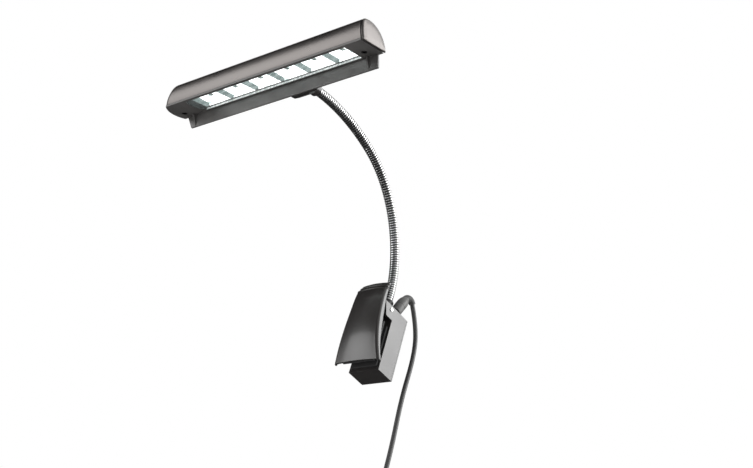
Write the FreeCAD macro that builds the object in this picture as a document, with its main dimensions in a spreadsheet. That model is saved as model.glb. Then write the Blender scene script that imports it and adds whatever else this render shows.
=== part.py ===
import FreeCAD, Part
import math
import os
import Sketcher
from types import SimpleNamespace
from FreeCAD import Matrix, Placement, Rotation, Vector

# Clip-on piano lamp on a bent gooseneck, held on the edge of an upright panel.
# Frame: X along the lamp head, Y backward through the panel, Z up. The origin is
# the front top edge of the panel, in the middle plane of the clip and the neck.
# Lengths are in millimetres, angles in degrees.

doc = FreeCAD.newDocument("piano_lamp")
sheet = doc.addObject("Spreadsheet::Sheet", "Sizes")

SIZES = {
    # clip: rear housing, the part that stands behind the panel
    "panel_gap": 6.0,
    "pad_thick": 2.0,
    "rear_half": 15.0,
    "rear_back": 26.0,
    "rear_low": 46.0,
    "rear_top": 18.1,
    "rear_top_end": 15.8,
    "shoulder_half": 7.5,
    "shoulder_top": 12.0,
    "rear_wall": 2.0,
    "bay_half": 13.0,
    "bay_low": 38.0,
    "bay_high": 7.0,
    "slot_half": 8.5,
    "slot_low": 44.0,
    "slot_high": 1.0,
    "cover_plate": 1.8,
    "edge_round": 0.6,
    "cover_screw_x": 11.7,
    "cover_screw_high": 3.2,
    "cover_screw_low": 42.0,
    "board_half": 7.6,
    "board_thick": 1.6,
    "board_tall": 40.0,
    "board_rise": 1.0,
    "chip_side": 5.6,
    "chip_right": 1.0,
    "chip_low": 22.0,
    "chip_high": 30.0,
    "chip_tall": 4.5,
    "choke_x": 0.5,
    "choke_z": 11.0,
    "choke_radius": 3.4,
    "choke_tall": 6.0,
    "post_radius": 2.2,
    "post_inset": 6.0,
    "post_tall": 4.0,
    # hinge of the clip
    "pin_y": 3.9,
    "pin_z": 8.4,
    "pin_radius": 1.5,
    "pin_fit": 0.05,
    "pin_head": 0.7,
    "cheek_thick": 2.5,
    "cheek_low": 0.5,
    "cheek_nose": 5.4,
    "cheek_foot": 0.5,
    "lug_inside": 8.6,
    "lug_thick": 2.2,
    "lug_radius": 3.75,
    "coil_radius": 2.9,
    "coil_wire": 1.0,
    "leg_front_long": 16.6,
    "leg_front_lean": 34.5,
    "leg_rear_long": 8.2,
    "leg_rear_lean": 4.6,
    # front jaw, a pressed shell that widens toward its lower edge
    "jaw_wall": 1.5,
    "jaw_corner": 2.6,
    "jaw_crown": 1.4,
    "jaw_top": 29.5,
    "jaw_top_y": 7.2,
    "jaw_bow": 11.1,
    "jaw_bow_z": 5.0,
    "jaw_low": 44.0,
    "jaw_low_y": 4.0,
    "jaw_top_half": 15.3,
    "jaw_low_half": 22.7,
    "flange_end": 3.2,
    "flange_more": 2.2,
    "lip_tall": 1.5,
    "lug_root": 7.0,
    "rib_x": 9.0,
    "rib_thick": 1.6,
    "pad_low": 43.0,
    "pad_high": 6.0,
    "front_pad_half": 15.4,
    "rear_pad_half": 13.0,
    "rib_margin": 1.0,
    "grip_first": 3.0,
    "grip_step": 2.2,
    "grip_tall": 0.9,
    "grip_proud": 0.45,
    # gooseneck: six arcs, each with a ball end in the next one's cup
    "foot_y": 12.65,
    "foot_rise": 1.5,
    "foot_angle": 83.42,
    "neck_radius": 4.0,
    "neck_arc": 37.62,
    "turn_1": 22.1,
    "turn_2": 17.9,
    "turn_3": 19.95,
    "turn_4": 24.2,
    "turn_5": 13.8,
    "turn_6": 15.84,
    "last_more": 3.2,
    "cup_gap": 0.3,
    "ferrule_radius": 5.2,
    "ferrule_tall": 6.0,
    "ferrule_floor": 1.05,
    "ferrule_bevel": 0.8,
    "stub_radius": 3.0,
    "stub_long": 10.0,
    "turn_gap": 0.3,
    "running_fit": 0.05,
    "tube_fit": 0.2,
    # lamp head: D-shaped extrusion with a ball-shaped nose at its left end
    "head_lean": 6.46,
    "head_end": 15.5,
    "head_deep": 29.2,
    "nose_radius": 30.0,
    "nose_x": 118.6,
    "nose_u": 20.0,
    "nose_v": 2.0,
    "back_radius": 20.8,
    "back_u": 8.5,
    "back_v": 1.5,
    "brow_radius": 5.0,
    "head_wall": 1.8,
    "hollow_left": 132.0,
    "cap_thick": 3.0,
    "cap_round": 1.8,
    "spigot_long": 4.0,
    "overcut": 2.0,
    "part_gap": 0.1,
    "boss_radius": 3.2,
    "boss_top": 13.4,
    "back_boss": 0.8,
    "back_boss_half": 2.5,
    "back_boss_down": 2.0,
    "back_boss_up": 3.0,
    # light cover: window frame, rear shade and its two gussets in one moulding
    "frame_thick": 1.6,
    "window_end": 2.5,
    "window_front": 3.2,
    "window_rear": 26.0,
    "window_arc": 19.0,
    "window_arc_x": 112.2,
    "window_arc_u": 15.5,
    "flare": 7.0,
    "flare_deep": 1.2,
    "shade_thick": 1.6,
    "shade_drop": 11.4,
    "shade_end": 4.2,
    "shade_left_top": 142.0,
    "shade_left_low": 137.4,
    "gusset_end": 2.5,
    "gusset_left": 132.0,
    "gusset_thick": 0.9,
    "gusset_reach": 4.0,
    "screw_end": 4.8,
    "screw_right_u": 18.6,
    "screw_left_x": 138.5,
    "screw_head": 2.3,
    "screw_head_tall": 1.0,
    "screw_core": 1.1,
    "screw_long": 7.0,
    "block_screw_long": 5.0,
    "recess_long": 0.6,
    "recess_wide": 0.125,
    "recess_deep": 0.55,
    "screw_gap": 0.2,
    # optics
    "lens_thick": 1.2,
    "lens_left": 124.6,
    "lens_end": 0.5,
    "lens_front": 2.2,
    "lens_rear": 26.8,
    "cell_pitch": 28.85,
    "cell_first": 116.6,
    "cell_wall": 0.9,
    "tray_top": 9.0,
    "tray_floor": 1.0,
    "tray_front": 3.0,
    "tray_rear": 25.4,
    "tray_slope": 4.8,
    "led_wide": 3.0,
    "led_deep": 2.8,
    "led_tall": 1.3,
    "led_u": 16.4,
    "led_board_thick": 1.2,
    "led_board_front": 6.0,
    "led_board_deep": 13.4,
    # block that joins the neck to the head, with the push switch in it
    "block_left": 22.0,
    "block_step": 6.6,
    "block_right": 4.4,
    "block_deep": 10.0,
    "block_thin": 4.6,
    "block_low": 11.8,
    "block_bevel": 2.8,
    "block_top": 9.0,
    "block_lip": 1.0,
    "block_shoulder": 2.0,
    "socket_u": 2.3244,
    "socket_v": 8.905,
    "socket_radius": 5.7,
    "socket_floor": 1.5,
    "socket_tall": 3.3,
    "sleeve_radius": 4.75,
    "sleeve_long": 4.3,
    "block_screw_left": 18.0,
    "block_screw_right": 0.2,
    "block_screw_v": 5.0,
    "block_screw_seat": 2.4,
    "block_screw_head": 2.1,
    "switch_x": 13.0,
    "switch_v": 3.4,
    "switch_half": 4.6,
    "switch_tall": 4.4,
    "switch_wall": 2.0,
    "button_radius": 3.6,
    "button_room": 0.2,
    "button_foot": 1.0,
    "button_round": 0.65,
    "button_flange": 4.4,
    "button_out": 1.9,
    # power lead
    "plug_x": 9.3,
    "plug_y": 15.49,
    "plug_z": 14.18,
    "plug_lean": 24.7,
    "plug_radius": 4.8,
    "plug_room": 0.15,
    "plug_long": 21.0,
    "plug_edge": 0.5,
    "plug_taper": 4.0,
    "plug_neck": 1.0,
    "relief_rim": 0.6,
    "relief_radius": 3.0,
    "relief_bend": 6.0,
    "relief_turn": 115.0,
    "tip_radius": 1.75,
    "tip_long": 7.6,
    "jack_radius": 3.1,
    "jack_deep": 8.5,
    "jack_bore": 0.1,
    "cord_radius": 2.0,
    "ring_x": 19.1,
    "ring_z": 145.0,
    "lead_y": 51.0,
    "ring_radius": 24.0,
    "bundle_radius": 7.7,
    "tie_wide": 4.0,
    "tie_thick": 1.0,
    "tie_lock": 2.5,
    "tie_lock_out": 3.5,
    "tie_lock_more": 0.5,
    "adapter_x": 10.8,
    "adapter_z": 198.0,
    "adapter_wide": 34.0,
    "adapter_deep": 27.0,
    "adapter_tall": 56.0,
    "adapter_round": 4.0,
    "adapter_relief": 12.0,
    "prong_rise": 14.0,
    "prong_long": 17.0,
    "prong_wide": 6.3,
    "prong_thick": 1.5,
    "prong_apart": 12.7,
}


class Size:
    """A sheet value, or a sum of them: the number and the sheet formula together."""

    def __init__(self, number, formula):
        self.number = number
        self.formula = formula

    def __add__(self, other):
        return Size(num(self) + num(other), "(%s + %s)" % (text(self), text(other)))

    def __radd__(self, other):
        return Size(num(other) + num(self), "(%s + %s)" % (text(other), text(self)))

    def __sub__(self, other):
        return Size(num(self) - num(other), "(%s - %s)" % (text(self), text(other)))

    def __rsub__(self, other):
        return Size(num(other) - num(self), "(%s - %s)" % (text(other), text(self)))

    def __mul__(self, other):
        return Size(num(self) * num(other), "(%s * %s)" % (text(self), text(other)))

    def __rmul__(self, other):
        return Size(num(other) * num(self), "(%s * %s)" % (text(other), text(self)))

    def __truediv__(self, other):
        return Size(num(self) / num(other), "(%s / %s)" % (text(self), text(other)))

    def __neg__(self):
        return Size(-num(self), "(0 - %s)" % text(self))


def num(value):
    return value.number if isinstance(value, Size) else float(value)


def text(value):
    return value.formula if isinstance(value, Size) else repr(float(value))


def root(value):
    return Size(math.sqrt(num(value)), "sqrt(%s)" % text(value))


def sine(angle):
    return Size(math.sin(math.radians(num(angle))), "sin(%s * 1deg)" % text(angle))


def cosine(angle):
    return Size(math.cos(math.radians(num(angle))), "cos(%s * 1deg)" % text(angle))


for row, (name, number) in enumerate(SIZES.items(), 1):
    sheet.set("A%d" % row, str(number))
    sheet.setAlias("A%d" % row, name)
doc.recompute()
d = SimpleNamespace(**{name: Size(number, "Sizes." + name) for name, number in SIZES.items()})

pieces = []


def bind(item, prop, value):
    item.setExpression(prop, text(value))


def body(label, place=Placement()):
    made = doc.addObject("PartDesign::Body", label)
    made.Label = label
    made.Placement = place
    pieces.append(made)
    return made


def sketch(owner, role, offset=0.0, aside=0.0):
    """A sketch on an origin plane, moved off it and sideways along its own Y."""
    made = owner.newObject("Sketcher::SketchObject", owner.Name + "_sketch")
    plane = [item for item in owner.Origin.OriginFeatures if item.Role == role][0]
    made.AttachmentSupport = [(plane, "")]
    made.MapMode = "FlatFace"
    bind(made, ".AttachmentOffset.Base.y", aside)
    bind(made, ".AttachmentOffset.Base.z", offset)
    return made


def fix(made, kind, *where):
    """Add one sketch constraint whose last argument is a size."""
    index = made.addConstraint(Sketcher.Constraint(kind, *where[:-1], num(where[-1])))
    made.setExpression("Constraints[%d]" % index, text(where[-1]))


def outline(owner, role, corners, offset=0.0, aside=0.0):
    """A closed outline. A corner (x, y) ends a straight side; (x, y, r) ends an arc
    of radius r, drawn anticlockwise, or clockwise where r is negative."""
    made = sketch(owner, role, offset, aside)
    ends = []
    for index, corner in enumerate(corners):
        before = corners[index - 1]
        a = Vector(num(before[0]), num(before[1]), 0)
        b = Vector(num(corner[0]), num(corner[1]), 0)
        if len(corner) == 2:
            made.addGeometry(Part.LineSegment(a, b))
            ends.append((1, 2))
            continue
        r = num(corner[2])
        if r < 0:
            a, b = b, a
        chord = b - a
        away = math.sqrt(max(r * r - chord.Length ** 2 / 4, 0)) / chord.Length
        centre = (a + b) * 0.5 + Vector(-chord.y, chord.x, 0) * away
        start = math.atan2(a.y - centre.y, a.x - centre.x)
        stop = math.atan2(b.y - centre.y, b.x - centre.x)
        circle = Part.Circle(centre, Vector(0, 0, 1), abs(r))
        made.addGeometry(Part.ArcOfCircle(circle, start, stop))
        ends.append((1, 2) if r > 0 else (2, 1))
    for index, corner in enumerate(corners):
        last = (index + 1) % len(corners)
        made.addConstraint(
            Sketcher.Constraint("Coincident", index, ends[index][1], last, ends[last][0]))
        fix(made, "DistanceX", -1, 1, index, ends[index][1], corner[0])
        fix(made, "DistanceY", -1, 1, index, ends[index][1], corner[1])
        if len(corner) == 3:
            positive = corner[2] if num(corner[2]) > 0 else 0 - corner[2]
            fix(made, "Radius", index, positive)
    return made


def rounds(owner, role, circles, offset=0.0):
    """Circles given as (x, y, radius)."""
    made = sketch(owner, role, offset)
    for index, (x, y, radius) in enumerate(circles):
        centre = Vector(num(x), num(y), 0)
        made.addGeometry(Part.Circle(centre, Vector(0, 0, 1), num(radius)))
        fix(made, "DistanceX", -1, 1, index, 3, x)
        fix(made, "DistanceY", -1, 1, index, 3, y)
        fix(made, "Radius", index, radius)
    return made


def box(owner, role, left, right, low, high, offset=0.0):
    corners = [(left, low), (right, low), (right, high), (left, high)]
    return outline(owner, role, corners, offset)


def feature(owner, kind, profile, grows):
    """Add a feature and check that it adds or removes material."""
    doc.recompute()
    before = owner.Shape.Volume if owner.Tip and not owner.Shape.isNull() else 0.0
    made = owner.newObject("PartDesign::" + kind, owner.Name + "_" + kind.lower())
    made.Profile = profile
    return made, before, grows


def settle(owner, made, before, grows):
    doc.recompute()
    change = owner.Shape.Volume - before
    if (change > 0) != grows or abs(change) < 1e-4:
        raise RuntimeError("%s: %s changes nothing" % (owner.Label, made.Name))
    return made


def pad(owner, profile, length, reverse=False, middle=False, grows=True, kind="Pad"):
    made, before, grows = feature(owner, kind, profile, grows)
    bind(made, "Length", length)
    made.Reversed = reverse
    if middle:
        made.SideType = "Symmetric"
    return settle(owner, made, before, grows)


def pocket(owner, profile, length, reverse=False, middle=False):
    return pad(owner, profile, length, reverse, middle, False, "Pocket")


def turned(owner, profile, axis="V_Axis", angle=360.0, grows=True):
    kind = "Revolution" if grows else "Groove"
    made, before, grows = feature(owner, kind, profile, grows)
    made.ReferenceAxis = (profile, [axis])
    bind(made, "Angle", angle)
    return settle(owner, made, before, grows)


def ease(owner, radius, test):
    """Fillet the edges of the finished body that pass a test on their middle point."""
    doc.recompute()
    base = owner.Tip
    names = []
    for index, edge in enumerate(base.Shape.Edges, 1):
        middle = edge.valueAt((edge.FirstParameter + edge.LastParameter) / 2)
        if test(edge, middle):
            names.append("Edge%d" % index)
    made = owner.newObject("PartDesign::Fillet", owner.Name + "_fillet")
    made.Base = (base, names)
    bind(made, "Radius", radius)
    doc.recompute()
    if not made.Shape.isValid() or made.Shape.isNull():
        raise RuntimeError("%s: the fillet fails" % owner.Label)
    return made


def frame_at(origin, x_axis, y_axis, z_axis):
    return Placement(Matrix(
        x_axis.x, y_axis.x, z_axis.x, origin.x,
        x_axis.y, y_axis.y, z_axis.y, origin.y,
        x_axis.z, y_axis.z, z_axis.z, origin.z,
        0, 0, 0, 1))


def heading(angle):
    return Vector(0, math.cos(math.radians(angle)), math.sin(math.radians(angle)))


def along(origin, angle):
    """Frame whose Z runs along a heading in the middle plane, Y to its right."""
    return frame_at(origin, Vector(1, 0, 0), heading(angle - 90), heading(angle))


# ---------------------------------------------------------------- clip, rear housing
front = d.panel_gap + d.pad_thick
rear_housing = body("rear_housing")
pad(rear_housing, outline(rear_housing, "YZ_Plane", [
    (front, -d.rear_low), (d.rear_back, -d.rear_low), (d.rear_back, d.shoulder_top),
    (d.rear_top_end, d.rear_top), (front, d.rear_top)]), d.rear_half * 2, middle=True)
# sloped shoulders leave a raised middle for the neck and one side open round the plug
for side in (-1, 1):
    pocket(rear_housing, outline(rear_housing, "XZ_Plane", [
        (side * d.shoulder_half, d.rear_top), (side * d.rear_half, d.shoulder_top),
        (side * (d.rear_half + d.overcut), d.shoulder_top),
        (side * (d.rear_half + d.overcut), d.rear_top + d.overcut),
        (side * d.shoulder_half, d.rear_top + d.overcut)], -d.rear_back),
        d.rear_back - front, reverse=True)
for side, start in ((False, d.rear_half - d.cheek_thick), (True, -d.rear_half + d.cheek_thick)):
    cheek = outline(rear_housing, "YZ_Plane", [
        (front + d.rear_wall, d.cheek_low), (front + d.rear_wall, d.shoulder_top),
        (-d.cheek_nose, d.shoulder_top), (-d.cheek_foot, d.cheek_low)], start)
    pad(rear_housing, cheek, d.cheek_thick, reverse=side)
# two stacked bays from the back leave the corners solid for the cover screws
deep = d.rear_back - front - d.rear_wall
pocket(rear_housing, box(rear_housing, "XZ_Plane", -d.bay_half, d.bay_half,
                         -d.bay_low, -d.bay_high, -d.rear_back), deep, reverse=True)
pocket(rear_housing, box(rear_housing, "XZ_Plane", -d.slot_half, d.slot_half,
                         -d.slot_low, d.slot_high, -d.rear_back), deep, reverse=True)
board_low = -d.slot_low + d.board_rise
board_high = board_low + d.board_tall
pad(rear_housing, rounds(rear_housing, "XZ_Plane", [
    (0.0, board_low + d.post_inset, d.post_radius),
    (0.0, board_high - d.post_inset, d.post_radius)], -front - d.rear_wall),
    d.post_tall, reverse=True)
cover_holes = [(x, z) for x in (-d.cover_screw_x, d.cover_screw_x)
               for z in (-d.cover_screw_low, -d.cover_screw_high)]
pocket(rear_housing, rounds(rear_housing, "XZ_Plane", [
    (x, z, d.screw_core) for x, z in cover_holes], -d.rear_back), d.screw_long, reverse=True)
pocket(rear_housing, rounds(rear_housing, "YZ_Plane", [
    (d.pin_y, d.pin_z, d.pin_radius)], -d.rear_half), d.rear_half * 2, reverse=True)

foot = Vector(0, num(d.foot_y), num(d.rear_top)) + heading(num(d.foot_angle)) * num(d.foot_rise)
foot_place = along(foot, num(d.foot_angle))
seat_place = along(Vector(num(d.plug_x), num(d.plug_y), num(d.plug_z)), 90 - num(d.plug_lean))


def bored(target, label, place, radius, start, stop):
    """Cut a round bore, given in a frame of its own, out of a finished body."""
    tool = doc.addObject("Part::Cylinder", label + "_bore")
    bind(tool, "Radius", radius)
    bind(tool, "Height", stop - start)
    tool.Placement = place.multiply(Placement(Vector(0, 0, num(start)), Rotation()))
    return cut(target, label, tool)


def cut(target, label, tool):
    made = doc.addObject("Part::Cut", label)
    made.Base = target
    made.Tool = tool
    made.Label = label
    doc.recompute()
    if made.Shape.Volume >= target.Shape.Volume - 1e-4:
        raise RuntimeError("%s: the cut removes nothing" % label)
    if target in pieces:
        pieces.remove(target)
    pieces.append(made)
    return made


rear_housing.Label = "rear_housing_block"
rear_housing = bored(rear_housing, "rear_housing_footed", foot_place,
                     d.stub_radius + d.running_fit, -d.foot_rise - d.stub_long - d.turn_gap,
                     d.overcut)
rear_housing = bored(rear_housing, "rear_housing_jacked", seat_place,
                     d.jack_radius, -d.jack_deep, d.overcut)
rear_housing = bored(rear_housing, "rear_housing", seat_place,
                     d.plug_radius + d.plug_room, 0.0, d.plug_long)

rear_cover = body("rear_cover")
pad(rear_cover, box(rear_cover, "XZ_Plane", -d.rear_half, d.rear_half,
                    -d.rear_low, d.shoulder_top, -d.rear_back), d.cover_plate, reverse=True)
back_face = num(d.rear_back + d.cover_plate)
ease(rear_cover, d.edge_round, lambda edge, at: abs(at.y - back_face) < 0.01)
pocket(rear_cover, rounds(rear_cover, "XZ_Plane", [
    (x, z, d.screw_core + d.screw_gap) for x, z in cover_holes],
    -d.rear_back - d.cover_plate), d.cover_plate, reverse=True)
pocket(rear_cover, rounds(rear_cover, "XZ_Plane", [
    (x, z, d.screw_head + d.screw_gap) for x, z in cover_holes],
    -d.rear_back - d.cover_plate), d.screw_head_tall, reverse=True)


def screws(label, places, head=d.screw_head, long=d.screw_long - 0.5):
    """Round-headed screws as one node: a frame for each, Z out of the head."""
    parts = []
    for index, place in enumerate(places):
        shank = doc.addObject("Part::Cylinder", "%s_shank_%d" % (label, index))
        bind(shank, "Radius", d.screw_core)
        bind(shank, "Height", long)
        shank.Placement = place.multiply(Placement(Vector(0, 0, -num(long)), Rotation()))
        top = doc.addObject("Part::Cylinder", "%s_head_%d" % (label, index))
        bind(top, "Radius", head)
        bind(top, "Height", d.screw_head_tall)
        top.Placement = place
        whole = doc.addObject("Part::Fuse", "%s_whole_%d" % (label, index))
        whole.Base = shank
        whole.Tool = top
        recess = []
        for turn in (0, 90):
            slot = doc.addObject("Part::Box", "%s_slot_%d_%d" % (label, index, turn))
            bind(slot, "Length", head * d.recess_long * 2)
            bind(slot, "Width", head * d.recess_wide * 2)
            bind(slot, "Height", d.screw_head_tall)
            half = Placement(-Vector(num(head * d.recess_long), num(head * d.recess_wide),
                                     num(d.screw_head_tall * (d.recess_deep - 1))), Rotation())
            slot.Placement = place.multiply(
                Placement(Vector(), Rotation(Vector(0, 0, 1), turn))).multiply(half)
            recess.append(slot)
        cross = doc.addObject("Part::Fuse", "%s_cross_%d" % (label, index))
        cross.Base, cross.Tool = recess
        final = doc.addObject("Part::Cut", "%s_%d" % (label, index))
        final.Base = whole
        final.Tool = cross
        parts.append(final)
    made = doc.addObject("Part::Compound", label)
    made.Links = parts
    made.Label = label
    pieces.append(made)
    return made


backward = Rotation(Vector(1, 0, 0), -90)
screw_y = num(d.rear_back + d.cover_plate - d.screw_head_tall)
screws("rear_cover_screws", [Placement(Vector(num(x), screw_y, num(z)), backward)
                             for x, z in cover_holes])

driver_board = body("driver_board")
pad(driver_board, box(driver_board, "XZ_Plane", -d.board_half, d.board_half, board_low,
                      board_high, -front - d.rear_wall - d.post_tall), d.board_thick, reverse=True)
parts_y = -front - d.rear_wall - d.post_tall - d.board_thick
pad(driver_board, box(driver_board, "XZ_Plane", -d.chip_side, d.chip_right, board_low + d.chip_low,
                      board_low + d.chip_high, parts_y), d.chip_tall, reverse=True)
pad(driver_board, rounds(driver_board, "XZ_Plane", [
    (d.choke_x, board_low + d.choke_z, d.choke_radius)], parts_y), d.choke_tall, reverse=True)

dc_jack = body("dc_jack", seat_place)
turned(dc_jack, box(dc_jack, "XZ_Plane", 0.0, d.jack_radius, -d.jack_deep, 0.0))
pocket(dc_jack, rounds(dc_jack, "XY_Plane", [
    (0.0, 0.0, d.tip_radius + d.jack_bore)]), d.tip_long + d.jack_bore)

hinge_pin = body("hinge_pin", Placement(Vector(0, num(d.pin_y), num(d.pin_z)), Rotation()))
pad(hinge_pin, rounds(hinge_pin, "YZ_Plane", [(0.0, 0.0, d.pin_radius)]),
    (d.rear_half + d.pin_head) * 2, middle=True)

# torsion spring: closed coils round the pin, one leg on the jaw and one on the housing
torsion_spring = body("torsion_spring", hinge_pin.Placement)
turns = int(num(d.lug_inside * 2) - 2)
wire = d.coil_wire * 0.5
half_coil = d.coil_wire * (turns / 2)
inner = d.coil_radius - wire
corners = [(-half_coil, inner), (half_coil, inner), (half_coil, d.coil_radius)]
corners += [(half_coil - d.coil_wire * (turn + 1), d.coil_radius, wire * 1.02)
            for turn in range(turns)]
turned(torsion_spring, outline(torsion_spring, "XY_Plane", corners), "H_Axis")
for side, lean, long in ((-1, d.leg_front_lean, d.leg_front_long),
                         (1, -d.leg_rear_lean, d.leg_rear_long)):
    leg = rounds(torsion_spring, "XY_Plane", [
        (side * (half_coil - wire), side * d.coil_radius, wire * 0.96)])
    leg.AttachmentOffset = Placement(Vector(), Rotation(Vector(1, 0, 0), num(lean)))
    pad(torsion_spring, leg, long)

rear_pad = body("rear_pad")
pad(rear_pad, box(rear_pad, "XZ_Plane", -d.rear_pad_half, d.rear_pad_half, -d.pad_low,
                  -d.pad_high, -d.panel_gap), d.pad_thick, reverse=True)

# ---------------------------------------------------------------- clip, front jaw
spread = d.jaw_low_half - d.jaw_top_half
jaw_span = d.jaw_top + d.jaw_low


def jaw_face(height):
    """Where the shell's front face stands at a height, at the edge of its crown."""
    if num(height) > num(d.jaw_bow_z):
        share = (height - d.jaw_bow_z) / (d.jaw_top - d.jaw_bow_z)
        return share * share * share * (d.jaw_bow - d.jaw_top_y) - d.jaw_bow
    share = (d.jaw_bow_z - height) / (d.jaw_bow_z + d.jaw_low)
    return share * share * root(share) * (d.jaw_bow - d.jaw_low_y) - d.jaw_bow


def jaw_section(owner, height, inset, past=0.0):
    """Section of the shell: crowned face, round corners and two flanges, set in by a wall."""
    share = (d.jaw_top - height) / jaw_span
    deep = share * (1.0 - share) * 4.0
    face = jaw_face(height)
    half = d.jaw_top_half + share * share * spread
    back = face + d.flange_end + deep * deep * d.flange_more + past
    chord = half - d.jaw_corner
    crown = (chord * chord / d.jaw_crown + d.jaw_crown) * 0.5
    corner = d.jaw_corner - inset
    return outline(owner, "XY_Plane", [
        (-half + inset, face + d.jaw_corner), (-chord, face + inset, corner),
        (chord, face + inset, crown), (half - inset, face + d.jaw_corner, corner),
        (half - inset, back), (-half + inset, back)], height)


def shell(owner, inset, past, kind):
    """Loft through sections at even heights."""
    steps = 9
    rings = [jaw_section(owner, d.jaw_top - jaw_span * (step / steps), inset, past)
             for step in range(steps + 1)]
    made = owner.newObject("PartDesign::" + kind, owner.Name + "_" + kind.lower())
    made.Profile = rings[0]
    made.Sections = rings[1:]
    doc.recompute()
    return made


front_jaw = body("front_jaw")
shell(front_jaw, 0.0, 0.0, "AdditiveLoft")
# two raised bands under the top edge give the thumb a hold
for step in range(2):
    band = d.jaw_top - d.grip_first - d.grip_step * step
    pad(front_jaw, jaw_section(front_jaw, band, -d.grip_proud), d.grip_tall)
solid_jaw = front_jaw.Shape.Volume
shell(front_jaw, d.jaw_wall, d.overcut, "SubtractiveLoft")
if front_jaw.Shape.Volume > solid_jaw * 0.8:
    raise RuntimeError("the front jaw is not hollow")
lip = jaw_section(front_jaw, d.jaw_top, d.jaw_wall * 0.4)
pad(front_jaw, lip, d.lip_tall, reverse=True)
for side, start in ((False, d.lug_inside), (True, -d.lug_inside)):
    pad(front_jaw, outline(front_jaw, "YZ_Plane", [
        (-d.jaw_bow, d.pin_z - d.lug_root), (d.pin_y, d.pin_z - d.lug_radius),
        (d.pin_y + d.lug_radius, d.pin_z, d.lug_radius),
        (d.pin_y, d.pin_z + d.lug_radius, d.lug_radius), (-d.jaw_bow, d.pin_z + d.lug_root)],
        start), d.lug_thick, reverse=side)
pocket(front_jaw, rounds(front_jaw, "YZ_Plane", [
    (d.pin_y, d.pin_z, d.pin_radius + d.pin_fit)], -d.jaw_low_half), d.jaw_low_half * 2,
    reverse=True)
rib_top = -d.pad_high + d.rib_margin
rib_low = -d.jaw_low + d.rib_margin
rib_heights = [rib_top + (rib_low - rib_top) * (step / 4) for step in range(5)]
for x in (-d.rib_x, d.rib_x):
    pad(front_jaw, outline(front_jaw, "YZ_Plane", [
        (jaw_face(height), height) for height in rib_heights] + [
        (-d.pad_thick, rib_low), (-d.pad_thick, rib_top)], x - d.rib_thick * 0.5), d.rib_thick)

front_pad = body("front_pad")
pad(front_pad, box(front_pad, "XZ_Plane", -d.front_pad_half, d.front_pad_half, -d.pad_low,
                   -d.pad_high), d.pad_thick)

# ---------------------------------------------------------------- gooseneck
lower_ferrule = body("lower_ferrule", foot_place)
turned(lower_ferrule, outline(lower_ferrule, "XZ_Plane", [
    (0.0, -d.foot_rise - d.stub_long), (d.stub_radius, -d.foot_rise - d.stub_long),
    (d.stub_radius, -d.ferrule_floor), (d.ferrule_radius, -d.ferrule_floor),
    (d.ferrule_radius, d.ferrule_tall - d.ferrule_bevel),
    (d.ferrule_radius - d.ferrule_bevel, d.ferrule_tall),
    (d.neck_radius + d.tube_fit, d.ferrule_tall), (d.neck_radius + d.tube_fit, 0.0), (0.0, 0.0)]))


def neck_piece(label, at, angle, turn, long, ball, cup):
    """One arc of the neck that turns left from a heading; returns its end."""
    bend = long * (180.0 / math.pi) / turn
    right = heading(angle - 90)
    centre = at - right * num(bend)
    ring = doc.addObject("Part::Torus", label + "_arc")
    bind(ring, "Radius1", bend)
    bind(ring, "Radius2", d.neck_radius)
    bind(ring, "Angle3", turn)
    ring.Placement = frame_at(centre, right, heading(angle), Vector(1, 0, 0))
    end = centre + heading(angle - 90 + num(turn)) * num(bend)
    made = ring
    if ball:
        tool = doc.addObject("Part::Sphere", label + "_ball")
        bind(tool, "Radius", d.neck_radius)
        tool.Placement = Placement(end, Rotation(Vector(0, 1, 0), 90))
        made = doc.addObject("Part::Fuse", label + "_rod")
        made.Base = ring
        made.Tool = tool
    if cup:
        tool = doc.addObject("Part::Sphere", label + "_cup")
        bind(tool, "Radius", d.neck_radius + d.cup_gap)
        tool.Placement = Placement(at, Rotation(Vector(0, 1, 0), 90))
        whole = made
        made = doc.addObject("Part::Cut", label)
        made.Base = whole
        made.Tool = tool
    made.Label = label
    pieces.append(made)
    return end, angle + num(turn)


at, angle = foot, num(d.foot_angle)
joints = [at]
turn_sizes = [d.turn_1, d.turn_2, d.turn_3, d.turn_4, d.turn_5, d.turn_6]
for index, turn in enumerate(turn_sizes, 1):
    long = d.neck_arc if index < 6 else d.neck_arc + d.last_more
    at, angle = neck_piece("neck_%d" % index, at, angle, turn, long, index < 6, index > 1)
    joints.append(at)
    print("neck joint", index, [round(v, 3) for v in at], "heading", round(angle, 2))

# ---------------------------------------------------------------- lamp head
# Head frame: X along the head, Y (u) from its front face to its rear, Z (v) up from
# the flat light face. The neck ends inside the rear of the block, below that face.
tilt = angle - 180.0 + num(d.head_lean)
head_axes = Rotation(Vector(1, 0, 0), tilt)
into_socket = head_axes.multVec(Vector(0, num(d.head_deep + d.socket_u), -num(d.socket_v)))
head_place = Placement(at - into_socket, head_axes)
print("head origin", [round(v, 3) for v in head_place.Base], "tilt", round(tilt, 3))


def rear_u(height, inset=0.0):
    """Where the round back of the head stands at a height above the light face."""
    radius = d.back_radius - inset
    rise = height + d.back_v
    return d.back_u + root(radius * radius - rise * rise)


def section(inset, low):
    """D-shaped section of the head, set in by a wall."""
    reach = d.back_radius - d.brow_radius
    aside = d.back_u - d.brow_radius
    up = root(reach * reach - aside * aside)
    brow = d.brow_radius - inset
    back = d.back_radius - inset
    return [(inset, low), (inset, up - d.back_v),
            (d.back_u - aside * back / reach, up * back / reach - d.back_v, -brow),
            (rear_u(low, inset), low, -back)]


cells = 6
cell_left = -d.cell_first
cells_end = cell_left + d.cell_pitch * cells
head_right = cells_end + d.head_end
window_right = cells_end - d.window_end
screw_right = cells_end + d.screw_end
whole_length = head_right + d.nose_x + d.nose_radius


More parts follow.
